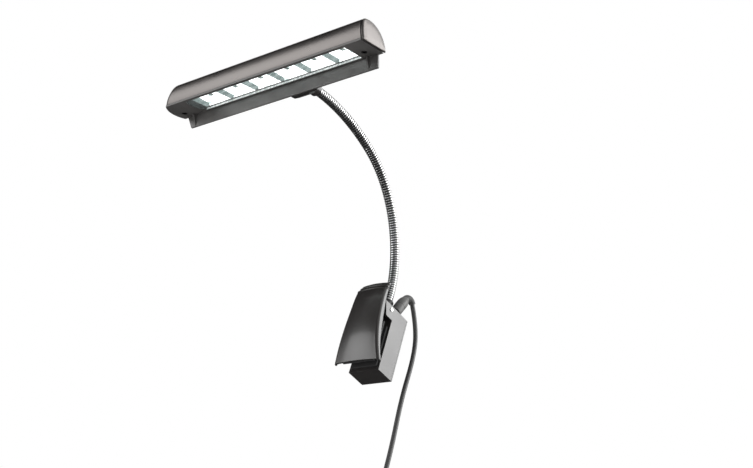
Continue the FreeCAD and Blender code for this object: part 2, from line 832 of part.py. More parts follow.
def nose(owner):
    """Round the left end of a body to the ball of the nose."""
    past = -d.nose_x - d.nose_radius - d.overcut
    turned(owner, outline(owner, "XY_Plane", [
        (past, 0.0), (-d.nose_x - d.nose_radius, 0.0),
        (-d.nose_x, d.nose_radius, -d.nose_radius), (-d.nose_x, d.nose_radius * 1.6),
        (past, d.nose_radius * 1.6)], -d.nose_v, d.nose_u), "H_Axis", grows=False)


cover_screws_at = [(screw_right, d.screw_right_u), (-d.screw_left_x, d.nose_u)]
block_screws_at = [-d.block_screw_left, d.block_screw_right]
lens_top = d.frame_thick + d.lens_thick

head_housing = body("head_housing", head_place)
pad(head_housing, outline(head_housing, "YZ_Plane", section(0.0, d.frame_thick),
                          -d.nose_x - d.nose_radius), whole_length)
nose(head_housing)
pocket(head_housing, outline(head_housing, "YZ_Plane", section(d.head_wall, d.frame_thick),
                             head_right), head_right + d.hollow_left)
pad(head_housing, rounds(head_housing, "XY_Plane", [
    (screw_right, d.screw_right_u, d.boss_radius)], d.frame_thick), d.boss_top - d.frame_thick)
boss_low = d.block_screw_v - d.back_boss_down
boss_high = d.block_screw_v + d.back_boss_up
boss_inner = rear_u(d.block_screw_v, d.head_wall + d.back_boss)
boss_outer = rear_u(boss_high, d.head_wall * 0.5)
for x in block_screws_at:
    pad(head_housing, outline(head_housing, "YZ_Plane", [
        (boss_inner, boss_low), (boss_outer, boss_low), (boss_outer, boss_high),
        (boss_inner, boss_high)], x - d.back_boss_half), d.back_boss_half * 2)
screw_reach = d.screw_long - d.screw_head_tall
pocket(head_housing, rounds(head_housing, "XY_Plane", [
    (x, u, d.screw_core) for x, u in cover_screws_at], d.frame_thick), screw_reach, reverse=True)
pocket(head_housing, rounds(head_housing, "XZ_Plane", [
    (x, d.block_screw_v, d.screw_core) for x in block_screws_at], -boss_inner),
    d.head_deep - boss_inner)

end_cap = body("end_cap", head_place)
pad(end_cap, outline(end_cap, "YZ_Plane", section(0.0, 0.0), head_right), d.cap_thick)
pad(end_cap, outline(end_cap, "YZ_Plane", section(
    d.head_wall + d.part_gap, d.frame_thick + d.part_gap), head_right), d.spigot_long, reverse=True)
pocket(end_cap, outline(end_cap, "YZ_Plane", section(
    d.head_wall * 2, d.frame_thick + d.head_wall), head_right - d.spigot_long),
    d.spigot_long, reverse=True)
cap_face = num(head_right + d.cap_thick)
ease(end_cap, d.cap_round, lambda edge, at: abs(at.x - cap_face) < 0.01)

light_cover = body("light_cover", head_place)
pad(light_cover, box(light_cover, "XY_Plane", -d.nose_x - d.nose_radius, head_right,
                     0.0, d.head_deep), d.frame_thick)
nose(light_cover)


def window(owner, left, offset):
    """Window with a straight right end and a round left one."""
    up = d.window_rear - d.window_arc_u
    down = d.window_arc_u - d.window_front
    middle = left + d.window_arc
    return outline(owner, "XY_Plane", [
        (window_right, d.window_front), (window_right, d.window_rear),
        (middle - root(d.window_arc * d.window_arc - up * up), d.window_rear),
        (middle - root(d.window_arc * d.window_arc - down * down), d.window_front,
         d.window_arc)], offset)


window_left = -d.window_arc_x - d.window_arc
pocket(light_cover, window(light_cover, window_left + d.flare, 0.0), d.frame_thick, reverse=True)
before = light_cover.Shape.Volume
mouth = window(light_cover, window_left, 0.0)
throat = window(light_cover, window_left + d.flare, d.flare_deep)
flared = light_cover.newObject("PartDesign::SubtractiveLoft", "light_cover_flare")
flared.Profile = mouth
flared.Sections = [throat]
flared.Ruled = True
settle(light_cover, flared, before, False)
shade_right = head_right - d.shade_end
pad(light_cover, outline(light_cover, "XZ_Plane", [
    (shade_right, d.frame_thick), (-d.shade_left_top, d.frame_thick),
    (-d.shade_left_top, 0.0), (-d.shade_left_low, -d.shade_drop),
    (shade_right, -d.shade_drop)], -d.head_deep), d.shade_thick)
shade_face = d.head_deep - d.shade_thick
root_in = d.frame_thick * 0.25
for x in (cells_end + d.gusset_end, -d.gusset_left):
    pad(light_cover, outline(light_cover, "YZ_Plane", [
        (shade_face - d.gusset_reach, root_in), (shade_face - d.gusset_reach, 0.0),
        (shade_face, -d.shade_drop), (shade_face + root_in, -d.shade_drop),
        (shade_face + root_in, root_in)], x - d.gusset_thick * 0.5), d.gusset_thick)
pocket(light_cover, rounds(light_cover, "XY_Plane", [
    (x, u, d.screw_core + d.screw_gap) for x, u in cover_screws_at]), d.frame_thick, reverse=True)
pocket(light_cover, rounds(light_cover, "XY_Plane", [
    (x, u, d.screw_head + d.screw_gap) for x, u in cover_screws_at]), d.screw_head_tall,
    reverse=True)
face_down = Rotation(Vector(1, 0, 0), 180)
screws("cover_screws", [head_place.multiply(Placement(
    Vector(num(x), num(u), num(d.screw_head_tall)), face_down)) for x, u in cover_screws_at])

lens = body("lens", head_place)
lens_middle = -d.lens_left + d.window_arc
lens_up = d.lens_rear - d.window_arc_u
lens_down = d.window_arc_u - d.lens_front
pad(lens, outline(lens, "XY_Plane", [
    (cells_end - d.lens_end, d.lens_front), (cells_end - d.lens_end, d.lens_rear),
    (lens_middle - root(d.window_arc * d.window_arc - lens_up * lens_up), d.lens_rear),
    (lens_middle - root(d.window_arc * d.window_arc - lens_down * lens_down), d.lens_front,
     d.window_arc)], d.frame_thick), d.lens_thick)

reflector = body("reflector", head_place)
pad(reflector, outline(reflector, "YZ_Plane", [
    (d.tray_front, lens_top), (d.tray_rear, lens_top),
    (d.tray_rear - d.tray_slope, d.tray_top), (d.tray_front, d.tray_top)],
    cell_left - d.cell_wall), d.cell_pitch * cells + d.cell_wall)
first_cell = outline(reflector, "YZ_Plane", [
    (d.tray_front + d.cell_wall, lens_top), (d.tray_rear - d.cell_wall * 2, lens_top),
    (d.tray_rear - d.tray_slope - d.cell_wall * 2, d.tray_top - d.tray_floor),
    (d.tray_front + d.cell_wall * 4, d.tray_top - d.tray_floor)], cell_left)
cell = pocket(reflector, first_cell, d.cell_pitch - d.cell_wall, reverse=True)
led_x = cell_left + (d.cell_pitch - d.cell_wall) * 0.5
led_hole = pocket(reflector, box(
    reflector, "XY_Plane", led_x - d.led_wide * 0.5 - d.part_gap,
    led_x + d.led_wide * 0.5 + d.part_gap, d.led_u - d.led_deep * 0.5 - d.part_gap,
    d.led_u + d.led_deep * 0.5 + d.part_gap, d.tray_top - d.tray_floor), d.tray_floor, reverse=True)
before = reflector.Shape.Volume
row = reflector.newObject("PartDesign::LinearPattern", "reflector_row")
row.Originals = [cell, led_hole]
row.Direction = ([item for item in reflector.Origin.OriginFeatures if item.Role == "X_Axis"][0], [""])
bind(row, "Length", d.cell_pitch * (cells - 1))
row.Occurrences = cells
reflector.Tip = row
settle(reflector, row, before, False)

led_board = body("led_board", head_place)
pad(led_board, box(led_board, "XY_Plane", cell_left, cells_end - d.cell_wall, d.led_board_front,
                   d.led_board_front + d.led_board_deep, d.tray_top), d.led_board_thick)
chips = []
for index in range(cells):
    chip = doc.addObject("Part::Box", "led_%d" % index)
    bind(chip, "Length", d.led_wide)
    bind(chip, "Width", d.led_deep)
    bind(chip, "Height", d.led_tall)
    chip.Placement = head_place.multiply(Placement(Vector(
        num(led_x + d.cell_pitch * index - d.led_wide * 0.5), num(d.led_u - d.led_deep * 0.5),
        num(d.tray_top - d.led_tall)), Rotation()))
    chips.append(chip)
leds = doc.addObject("Part::Compound", "leds")
leds.Links = chips
pieces.append(leds)

# ---------------------------------------------------------------- neck block and switch
block_rear = d.head_deep + d.block_deep
neck_block = body("neck_block", head_place)


def block_profile(deep, bevel):
    """Side profile of the block, seated on the round back and on the shade."""
    back = d.head_deep + deep
    return [(d.head_deep, -d.block_low), (d.head_deep + d.block_thin, -d.block_low),
            (back, bevel - d.block_low), (back, d.block_shoulder),
            (d.head_deep + d.block_lip, d.block_top), (rear_u(d.block_top), d.block_top),
            (rear_u(d.frame_thick), d.frame_thick, -d.back_radius), (d.head_deep, d.frame_thick)]


# deep at the left for the switch, thin at the right where the neck comes in
pad(neck_block, outline(neck_block, "YZ_Plane", block_profile(d.block_deep, d.block_bevel),
                        -d.block_left), d.block_left - d.block_step)
thin = block_profile(d.block_thin, 0.0)
pad(neck_block, outline(neck_block, "YZ_Plane", thin[:2] + thin[3:], -d.block_step),
    d.block_step + d.block_right)
switch_room = d.switch_half + d.part_gap
pocket(neck_block, box(neck_block, "XZ_Plane", -d.switch_x - switch_room, -d.switch_x + switch_room,
                       -d.switch_v - switch_room, -d.switch_v + switch_room, -d.head_deep),
       d.block_deep - d.switch_wall)
pocket(neck_block, rounds(neck_block, "XZ_Plane", [
    (-d.switch_x, -d.switch_v, d.button_radius + d.button_room)], -block_rear), d.switch_wall,
    reverse=True)
screw_seat = rear_u(d.block_screw_v) + d.block_screw_seat
pocket(neck_block, rounds(neck_block, "XZ_Plane", [
    (x, d.block_screw_v, d.screw_core + d.screw_gap) for x in block_screws_at], -block_rear),
    block_rear - boss_inner, reverse=True)
pocket(neck_block, rounds(neck_block, "XZ_Plane", [
    (x, d.block_screw_v, d.block_screw_head + d.screw_gap) for x in block_screws_at], -block_rear),
    block_rear - screw_seat, reverse=True)
ease(neck_block, d.edge_round, lambda edge, at: at.y > num(d.head_deep + d.block_deep * 0.4)
     and abs(at.x + num(d.block_left)) < 0.01)
neck_block.Label = "neck_block_body"
arrival = Placement(at, Rotation(Vector(1, 0, 0), angle + 90))
sleeve_floor = d.ferrule_floor * 0.6
socket = doc.addObject("Part::Cylinder", "neck_socket")
bind(socket, "Radius", d.socket_radius)
bind(socket, "Height", d.socket_floor + d.socket_tall)
socket.Placement = arrival.multiply(Placement(Vector(0, 0, -num(d.socket_floor)), Rotation()))
joined = doc.addObject("Part::Fuse", "neck_block_joined")
joined.Base = neck_block
joined.Tool = socket
pieces.remove(neck_block)
neck_block = bored(joined, "neck_block", arrival, d.sleeve_radius, -sleeve_floor, d.socket_radius)
screws("block_screws", [head_place.multiply(Placement(
    Vector(num(x), num(screw_seat), num(d.block_screw_v)), backward)) for x in block_screws_at],
    d.block_screw_head, d.block_screw_long)

upper_ferrule = body("upper_ferrule", arrival)
turned(upper_ferrule, outline(upper_ferrule, "XZ_Plane", [
    (0.0, -sleeve_floor), (d.sleeve_radius, -sleeve_floor),
    (d.sleeve_radius, d.sleeve_long), (d.neck_radius + d.tube_fit, d.sleeve_long),
    (d.neck_radius + d.tube_fit, 0.0), (0.0, 0.0)]))

switch_body = body("switch_body", head_place)
pad(switch_body, box(switch_body, "XZ_Plane", -d.switch_x - d.switch_half, -d.switch_x + d.switch_half,
                     -d.switch_v - d.switch_half, -d.switch_v + d.switch_half, -d.head_deep),
    d.switch_tall, reverse=True)
switch_button = body("switch_button", head_place)
flange_top = block_rear - d.switch_wall - d.part_gap
pad(switch_button, rounds(switch_button, "XZ_Plane", [
    (-d.switch_x, -d.switch_v, d.button_flange)], -flange_top), d.button_foot)
pad(switch_button, rounds(switch_button, "XZ_Plane", [
    (-d.switch_x, -d.switch_v, d.button_radius)], -flange_top),
    d.switch_wall + d.part_gap + d.button_out, reverse=True)
button_face = num(block_rear + d.button_out)
ease(switch_button, d.button_round, lambda edge, at: abs(at.y - button_face) < 0.01)

# ---------------------------------------------------------------- power lead
power_plug = body("power_plug", seat_place)
turned(power_plug, outline(power_plug, "XZ_Plane", [
    (0.0, 0.0), (d.plug_radius - d.plug_edge, 0.0), (d.plug_radius, d.plug_edge),
    (d.plug_radius, d.plug_long - d.plug_neck - d.plug_taper),
    (d.relief_radius + d.relief_rim, d.plug_long - d.plug_neck),
    (0.0, d.plug_long - d.plug_neck)]))
plug_stub = rounds(power_plug, "XY_Plane", [
    (0.0, 0.0, d.relief_radius)], d.plug_long - d.plug_neck)
pad(power_plug, plug_stub, d.plug_neck)
hook = sketch(power_plug, "XY_Plane", d.plug_long, d.relief_bend)
hook.addGeometry(Part.Circle(Vector(0, -num(d.relief_bend), 0), Vector(0, 0, 1),
                             num(d.relief_radius)))
fix(hook, "DistanceX", -1, 1, 0, 3, 0.0)
fix(hook, "DistanceY", -1, 1, 0, 3, -d.relief_bend)
fix(hook, "Radius", 0, d.relief_radius)
before = power_plug.Shape.Volume
bend = power_plug.newObject("PartDesign::Revolution", "power_plug_hook")
bend.Profile = hook
bend.ReferenceAxis = (hook, ["H_Axis"])
bend.Reversed = True
bind(bend, "Angle", d.relief_turn)
settle(power_plug, bend, before, True)
plug_tip = body("plug_tip", seat_place)
turned(plug_tip, box(plug_tip, "XZ_Plane", 0.0, d.tip_radius, -d.tip_long, 0.0))

exit_angle = math.radians(90 - num(d.plug_lean) - num(d.relief_turn))
bend_at = seat_place.multVec(Vector(0, num(d.relief_bend), num(d.plug_long)))
cord_start = bend_at + Vector(0, -math.sin(exit_angle), math.cos(exit_angle)) * num(d.relief_bend)
cord_way = Vector(0, math.cos(exit_angle), math.sin(exit_angle))
print("cord start", [round(v, 3) for v in cord_start], "way", [round(v, 3) for v in cord_way])


def cord(label, points):
    """Tube along straight runs joined by tangent arcs; prints the arc radii."""
    edges = []
    radii = []
    begin = points[0]
    for index in range(1, len(points) - 1):
        before, corner, after = points[index - 1], points[index], points[index + 1]
        come = (corner - before).normalize()
        go = (after - corner).normalize()
        half_turn = come.getAngle(go) / 2
        reach = 0.45 * min((corner - before).Length, (after - corner).Length)
        radii.append(reach / math.tan(half_turn))
        enter = corner - come * reach
        leave = corner + go * reach
        inward = (go - come).normalize()
        middle = corner + inward * (radii[-1] / math.cos(half_turn) - radii[-1])
        edges.append(Part.LineSegment(begin, enter).toShape())
        edges.append(Part.Arc(enter, middle, leave).toShape())
        begin = leave
    edges.append(Part.LineSegment(begin, points[-1]).toShape())
    spine = Part.Wire(edges)
    way = (points[1] - points[0]).normalize()
    radius = num(d.cord_radius)
    ring = Part.Wire([Part.Circle(points[0], way, radius).toShape()])
    tube = spine.makePipeShell([ring], True, True)
    wanted = math.pi * radius ** 2 * spine.Length
    print(label, "length", round(spine.Length, 1), "radii", [round(r, 1) for r in radii],
          "volume ratio", round(tube.Volume / wanted, 4))
    made = doc.addObject("Part::Feature", label)
    made.Shape = tube
    made.Placement = Placement()
    pieces.append(made)
    return spine.Length


ring_at = Vector(-num(d.ring_x), num(d.lead_y), -num(d.ring_z))
adapter_at = Vector(num(d.adapter_x), num(d.lead_y), -num(d.adapter_z))
tail_end = adapter_at + Vector(0, 0, num(d.adapter_relief))
cord("cord_lead", [
    cord_start, cord_start + cord_way * 20, Vector(10.4, 52.4, -6), Vector(9.5, 51.2, -48),
    Vector(10.5, 53.4, -92), Vector(10.1, 53.1, -137)])
cord("cord_tail", [Vector(10.1, 48.9, -152), Vector(11.0, 50.2, -169), tail_end])

cord_coil = doc.addObject("Part::Torus", "cord_coil")
bind(cord_coil, "Radius1", d.ring_radius)
bind(cord_coil, "Radius2", d.bundle_radius)
cord_coil.Placement = Placement(ring_at, Rotation(Vector(1, 0, 0), 90))
pieces.append(cord_coil)

tie_at = ring_at + Vector(-num(d.ring_radius), 0, 0)
cord_tie = body("cord_tie", Placement(tie_at, Rotation()))
pad(cord_tie, rounds(cord_tie, "XY_Plane", [(0.0, 0.0, d.bundle_radius + d.tie_thick)],
                     -d.tie_wide * 0.5), d.tie_wide)
pad(cord_tie, box(cord_tie, "XY_Plane", -d.tie_lock, d.tie_lock, d.bundle_radius,
                  d.bundle_radius + d.tie_lock_out, -d.tie_wide * 0.5 - d.tie_lock_more),
    d.tie_wide + d.tie_lock_more * 2)
pocket(cord_tie, rounds(cord_tie, "XY_Plane", [(0.0, 0.0, d.bundle_radius)],
                        d.tie_wide * 0.5), d.tie_wide)

adapter_relief = body("adapter_relief", Placement(adapter_at, Rotation()))
turned(adapter_relief, outline(adapter_relief, "XZ_Plane", [
    (0.0, 0.0), (d.relief_radius + d.relief_rim, 0.0),
    (d.cord_radius + d.relief_rim, d.adapter_relief),
    (0.0, d.adapter_relief)]))
adapter_body = body("adapter_body", Placement(adapter_at, Rotation()))
pad(adapter_body, box(adapter_body, "XY_Plane", -d.adapter_wide * 0.5, d.adapter_wide * 0.5,
                      -d.adapter_deep * 0.5, d.adapter_deep * 0.5), d.adapter_tall, reverse=True)
ease(adapter_body, d.adapter_round, lambda edge, at: edge.Length > num(d.adapter_tall) - 1
     and abs(at.z + num(d.adapter_tall) / 2) < 0.1)
blade_z = d.prong_rise - d.adapter_tall
adapter_prongs = []
for index, side in enumerate((-0.5, 0.5)):
    blade = doc.addObject("Part::Box", "blade_%d" % index)
    bind(blade, "Length", d.prong_thick)
    bind(blade, "Width", d.prong_long)
    bind(blade, "Height", d.prong_wide)
    blade.Placement = Placement(adapter_at + Vector(
        num(d.prong_apart) * side - num(d.prong_thick) / 2, num(d.adapter_deep) / 2,
        num(blade_z) - num(d.prong_wide) / 2), Rotation())
    adapter_prongs.append(blade)
prongs = doc.addObject("Part::Compound", "adapter_prongs")
prongs.Links = adapter_prongs
pieces.append(prongs)

# ---------------------------------------------------------------- check and write
doc.recompute()
for item in doc.Objects:
    if "Invalid" in item.State or "Error" in item.State:
        raise RuntimeError("%s failed: %s" % (item.Name, item.State))
labels = [piece.Label for piece in pieces]
if len(set(labels)) != len(labels):
    raise RuntimeError("two pieces share a label")
os.makedirs("parts", exist_ok=True)
for piece in pieces:
    shape = piece.Shape
    if shape.isNull() or not shape.isValid():
        raise RuntimeError("%s has no valid shape" % piece.Label)
    shape.exportStep("parts/%s.step" % piece.Label)
    box_of = shape.BoundBox
    print("%-18s solids %d volume %9.1f  x %.1f %.1f  y %.1f %.1f  z %.1f %.1f" % (
        piece.Label, len(shape.Solids), shape.Volume, box_of.XMin, box_of.XMax,
        box_of.YMin, box_of.YMax, box_of.ZMin, box_of.ZMax))
print(len(pieces), "pieces")
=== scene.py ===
import math

import bmesh
import bpy
import numpy as np
from mathutils import Matrix, Vector


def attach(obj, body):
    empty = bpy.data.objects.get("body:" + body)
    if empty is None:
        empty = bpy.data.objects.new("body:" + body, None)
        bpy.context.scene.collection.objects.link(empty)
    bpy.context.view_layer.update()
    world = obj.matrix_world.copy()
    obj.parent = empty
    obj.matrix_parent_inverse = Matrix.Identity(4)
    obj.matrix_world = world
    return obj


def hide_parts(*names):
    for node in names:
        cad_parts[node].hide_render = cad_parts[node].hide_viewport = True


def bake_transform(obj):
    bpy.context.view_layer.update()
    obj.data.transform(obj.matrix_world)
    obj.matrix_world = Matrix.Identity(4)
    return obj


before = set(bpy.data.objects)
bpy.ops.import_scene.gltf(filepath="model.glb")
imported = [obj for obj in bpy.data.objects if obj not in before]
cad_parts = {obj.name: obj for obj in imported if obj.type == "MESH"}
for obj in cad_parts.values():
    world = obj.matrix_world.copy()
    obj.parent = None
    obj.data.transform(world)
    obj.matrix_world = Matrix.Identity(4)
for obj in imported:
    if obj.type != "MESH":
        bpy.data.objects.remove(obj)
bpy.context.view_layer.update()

mm = 0.001
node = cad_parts

# ------------------------------------------------------------------ clip, rear housing
# The rear housing stands behind the panel and holds the driver, the jack and the neck's
# foot. It and its back cover are moulded in warm black ABS with a satin mould finish;
# four screws hold the cover. The rubber pads are glued to both jaws.


def fresh(name):
    """A new finish, with its shader, its node and link makers and the piece's own place."""
    made = bpy.data.materials.new(name)
    made.use_nodes = True
    tree = made.node_tree
    place = tree.nodes.new("ShaderNodeTexCoord").outputs["Object"]
    return made, tree.nodes["Principled BSDF"], tree.nodes.new, tree.links.new, place


def noise(add, link, place, scale, detail):
    made = add("ShaderNodeTexNoise")
    made.inputs["Scale"].default_value = scale
    made.inputs["Detail"].default_value = detail
    link(place, made.inputs["Vector"])
    return made.outputs["Fac"]


def two_tone(add, link, pattern, low, high, dark, light):
    """Colour a pattern from a dark to a light shade between two of its levels."""
    made = add("ShaderNodeValToRGB")
    for stop, where, shade in zip(made.color_ramp.elements, (low, high), (dark, light)):
        stop.position = where
        stop.color = (*shade, 1)
    link(pattern, made.inputs["Fac"])
    return made.outputs["Color"]


def uneven_gloss(add, link, shader, pattern, gloss, spread):
    """Let the roughness wander by a share of itself, as hands and moulds leave it."""
    made = add("ShaderNodeMapRange")
    for name, value in (("From Min", 0.3), ("From Max", 0.7),
                        ("To Min", gloss * (1 - spread)), ("To Max", gloss * (1 + spread))):
        made.inputs[name].default_value = value
    link(pattern, made.inputs["Value"])
    link(made.outputs["Result"], shader.inputs["Roughness"])


def relief(add, link, shader, pattern, strength, deep):
    made = add("ShaderNodeBump")
    made.inputs["Strength"].default_value = strength
    made.inputs["Distance"].default_value = deep
    link(pattern, made.inputs["Height"])
    link(made.outputs["Normal"], shader.inputs["Normal"])


def plastic(name, shade, gloss, metal=0.0, cloud=0.1, grain=0.25, size=0.0007, coat=0.0):
    """Moulded or painted surface: cloudy shade, uneven gloss and a fine grain in relief."""
    made, shader, add, link, place = fresh(name)
    shader.inputs["Metallic"].default_value = metal
    shader.inputs["Coat Weight"].default_value = coat
    shader.inputs["Coat Roughness"].default_value = 0.12
    wide = noise(add, link, place, 38.0, 4.0)
    dark = [c * (1 - cloud) for c in shade]
    light = [min(1, c * (1 + cloud)) for c in shade]
    link(two_tone(add, link, wide, 0.3, 0.7, dark, light), shader.inputs["Base Color"])
    uneven_gloss(add, link, shader, wide, gloss, 0.12)
    relief(add, link, shader, noise(add, link, place, 1.0 / size, 2.0), grain, size * 0.08)
    return made


def soften(piece, width, segments, sharp):
    """Round by so many millimetres each edge that turns more than so many degrees."""
    bevel = piece.modifiers.new("edges", "BEVEL")
    bevel.width = width * mm
    bevel.segments = segments
    bevel.limit_method = "ANGLE"
    bevel.angle_limit = math.radians(sharp)


def dress(piece, finish, round_edges):
    """Give a piece its finish, and round its edges by so many millimetres."""
    piece.data.materials.clear()
    piece.data.materials.append(finish)
    if "custom_normal" in piece.data.attributes:
        piece.data.attributes.remove(piece.data.attributes["custom_normal"])
    piece.data.polygons.foreach_set("use_smooth", [True] * len(piece.data.polygons))
    weld = piece.modifiers.new("weld", "WELD")
    weld.merge_threshold = 0.002 * mm
    soften(piece, round_edges, 3, 32)
    piece.modifiers.new("normals", "WEIGHTED_NORMAL")


shell_black = plastic("shell_black", (0.024, 0.022, 0.021), 0.31, coat=0.3)
part_black = plastic("part_black", (0.024, 0.023, 0.023), 0.5, grain=0.5, size=0.0005)
pad_rubber = plastic("pad_rubber", (0.030, 0.030, 0.030), 0.75, grain=1.0, size=0.0009)
screw_black = plastic("screw_black", (0.05, 0.05, 0.05), 0.35, metal=1.0, grain=0.2)
for name in ("rear_housing", "rear_cover"):
    dress(node[name], shell_black, 0.35)
dress(node["rear_cover_screws"], screw_black, 0.12)
dress(node["rear_pad"], pad_rubber, 0.4)
dress(node["front_pad"], pad_rubber, 0.4)
dress(node["driver_board"], plastic("board_green", (0.05, 0.13, 0.06), 0.4), 0.1)
dress(node["dc_jack"], part_black, 0.15)

# ------------------------------------------------------------------ clip, front jaw
# The front jaw is a moulded shell, narrow at its thumb grip and wider at its lower edge,
# with shallow flanges, two lugs on the hinge pin and two ribs under the pad.


def solid(name, points, faces, finish, body, smooth=35, slots=None):
    """A mesh piece from points in metres; edges sharper than so many degrees stay crisp."""
    mesh = bpy.data.meshes.new(name)
    mesh.from_pydata([tuple(p) for p in points], [], faces)
    if slots:
        mesh.polygons.foreach_set("material_index", slots)
    work = bmesh.new()
    work.from_mesh(mesh)
    bmesh.ops.remove_doubles(work, verts=work.verts, dist=1e-6)
    bmesh.ops.recalc_face_normals(work, faces=work.faces)
    for edge in work.edges:
        edge.smooth = len(edge.link_faces) == 2 and edge.calc_face_angle(0) < math.radians(smooth)
    for face in work.faces:
        face.smooth = True
    work.to_mesh(mesh)
    work.free()
    made = bpy.data.objects.new(name, mesh)
    bpy.context.scene.collection.objects.link(made)
    made.data.materials.append(finish)
    if body:
        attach(made, body)
    return made


def skin(rings):
    """Points and faces of a closed surface through rings of equal length."""
    count = len(rings[0])
    points = [p for ring in rings for p in ring]
    faces = []
    for i in range(len(rings) - 1):
        for j in range(count):
            k = (j + 1) % count
            faces.append((i * count + j, i * count + k, (i + 1) * count + k, (i + 1) * count + j))
    faces.append(tuple(range(count)))
    faces.append(tuple((len(rings) - 1) * count + j for j in reversed(range(count))))
    return points, faces


def join(name, parts, finish, body, smooth=35):
    points, faces = [], []
    for more_points, more_faces in parts:
        base = len(points)
        points += list(more_points)
        faces += [tuple(base + i for i in face) for face in more_faces]
    return solid(name, points, faces, finish, body, smooth)


def slab(outline, axis, low, high):
    """Prism over an outline in the two other axes, from low to high along an axis."""
    rings = []
    for level in (low, high):
        ring = []
        for a, b in outline:
            at = [a, b]
            at.insert(axis, level)
            ring.append(Vector(at) * mm)
        rings.append(ring)
    return skin(rings)


jaw_top, jaw_low = 29.5, 44.0
jaw_corner, jaw_crown, jaw_wall = 2.6, 1.4, 1.5
bow_z, bow_y = 5.0, -11.1
pin_y, pin_z = 3.9, 8.4


def jaw_face(z):
    """Front of the shell: it bows out most near the pin and draws back above and below."""
    if z > bow_z:
        return bow_y + 3.9 * ((z - bow_z) / (jaw_top - bow_z)) ** 3
    return bow_y + 7.1 * ((bow_z - z) / (bow_z + jaw_low)) ** 2.5


def jaw_ring(z, inset):
    """Section of the shell: a crowned face, two round corners and two flanges."""
    share = (jaw_top - z) / (jaw_top + jaw_low)
    half = 15.3 + 7.4 * share ** 2
    face = jaw_face(z)
    back = face + 3.2 + 2.2 * (4 * share * (1 - share)) ** 2
    chord = half - jaw_corner
    crown = (chord ** 2 / jaw_crown + jaw_crown) / 2
    corner = jaw_corner - inset
    right = [(half - inset, back)]
    right += [(chord + corner * math.cos(a), face + jaw_corner - corner * math.sin(a))
              for a in np.linspace(0, math.pi / 2, 8)]
    right += [(x, face + inset - jaw_crown + crown - math.sqrt(crown ** 2 - x ** 2))
              for x in np.linspace(chord, 0, 9)[1:]]
    ring = right + [(-x, y) for x, y in reversed(right[:-1])]
    return [Vector((x, y, z)) * mm for x, y in ring]


# the thumb grip: from the plain face up, two beads and two grooves, as millimetres down from
# the top and in from the face
grip = ((8.2, 0.0), (7.8, -0.3), (7.0, -0.3), (6.8, 1.6), (5.7, 1.6), (5.5, 0.6), (4.2, 0.6),
        (3.9, 0.4), (3.4, 0.4), (3.2, 1.7), (2.2, 1.7), (2.0, 1.1), (0.3, 1.1), (0.0, 1.3))
levels = [(z, 0.0) for z in np.linspace(-jaw_low, 20.5, 51)]
levels += [(jaw_top - down, inset) for down, inset in grip]
grip_start, grip_thicker = 20.0, 0.6
jaw_rings = []
for z, inset in levels:
    wall = jaw_wall + max(0, min(grip_thicker, (z - grip_start) / 2))
    jaw_rings.append(jaw_ring(z, inset) + jaw_ring(z, wall)[::-1])
jaw_parts = [skin(jaw_rings)]
lug_radius, lug_root = 3.75, -10.6
rib_top, rib_low, rib_back, rib_x, rib_half = -5.0, -43.0, -2.0, 9.0, 0.8
lug = [(lug_root, 1.4), (pin_y, pin_z - lug_radius)]
lug += [(pin_y + lug_radius * math.cos(a), pin_z + lug_radius * math.sin(a))
        for a in np.linspace(-math.pi / 2, math.pi / 2, 15)]
lug += [(lug_root, 15.4)]
rib = [(jaw_face(z) + 0.7, z) for z in np.linspace(rib_top, rib_low, 9)]
rib += [(rib_back, rib_low), (rib_back, rib_top)]
for side in (-1, 1):
    jaw_parts.append(slab(lug, 0, side * 8.6, side * 10.8))
    jaw_parts.append(slab(rib, 0, side * rib_x - rib_half, side * rib_x + rib_half))
lip = [(p.x / mm, p.y / mm) for p in jaw_ring(jaw_top, 1.35)]
jaw_parts.append(slab(lip, 2, jaw_top - 1.5, jaw_top - 0.05))
jaw = join("jaw_shell", jaw_parts, shell_black, "jaw", 28)
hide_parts("front_jaw")
soften(jaw, 0.3, 2, 40)

# ------------------------------------------------------------------ hinge pin and spring
# A plated steel pin is pressed through the rear housing's cheeks. The torsion spring is
# wound on it in hard steel wire; one leg pushes the jaw's grip, the other the housing.


def stretched(add, link, place, scale):
    made = add("ShaderNodeMapping")
    made.inputs["Scale"].default_value = scale
    link(place, made.inputs["Vector"])
    return made.outputs["Vector"]


def metal(name, shade, gloss, scratch=0.15, size=0.0004, stretch=(1, 1, 12)):
    """Plated or drawn metal with fine marks along its length."""
    made, shader, add, link, place = fresh(name)
    shader.inputs["Metallic"].default_value = 1.0
    drawn_out = stretched(add, link, place, stretch)
    marks = noise(add, link, drawn_out, 1.0 / size / max(stretch), 5.0)
    dark = [c * (1 - scratch) for c in shade]
    light = [min(1, c * (1 + scratch * 0.5)) for c in shade]
    link(two_tone(add, link, marks, 0.35, 0.65, dark, light), shader.inputs["Base Color"])
    uneven_gloss(add, link, shader, marks, gloss, 0.25)
    return made


pin_steel = metal("pin_steel", (0.75, 0.75, 0.74), 0.22)
dress(node["hinge_pin"], pin_steel, 0.3)


def tube(path, radius, sides):
    """Rings round a path of points, kept from twisting, as a closed skin."""
    rings = []
    up = None
    for i, at in enumerate(path):
        way = (path[min(i + 1, len(path) - 1)] - path[max(i - 1, 0)]).normalized()
        if up is None:
            up = way.orthogonal().normalized()
        up = (up - way * up.dot(way)).normalized()
        side = way.cross(up)
        rings.append([at + (up * math.cos(a) + side * math.sin(a)) * radius
                      for a in np.linspace(0, 2 * math.pi, sides, endpoint=False)])
    return skin(rings)


coil_radius, wire, coils = 2.9, 1.0, 14
jaw_lean, jaw_leg = 34.5, 16.6
housing_lean, housing_leg = -4.6, 8.2
spring_left, spring_right = -coils / 2 + 0.5, coils / 2 - 0.5


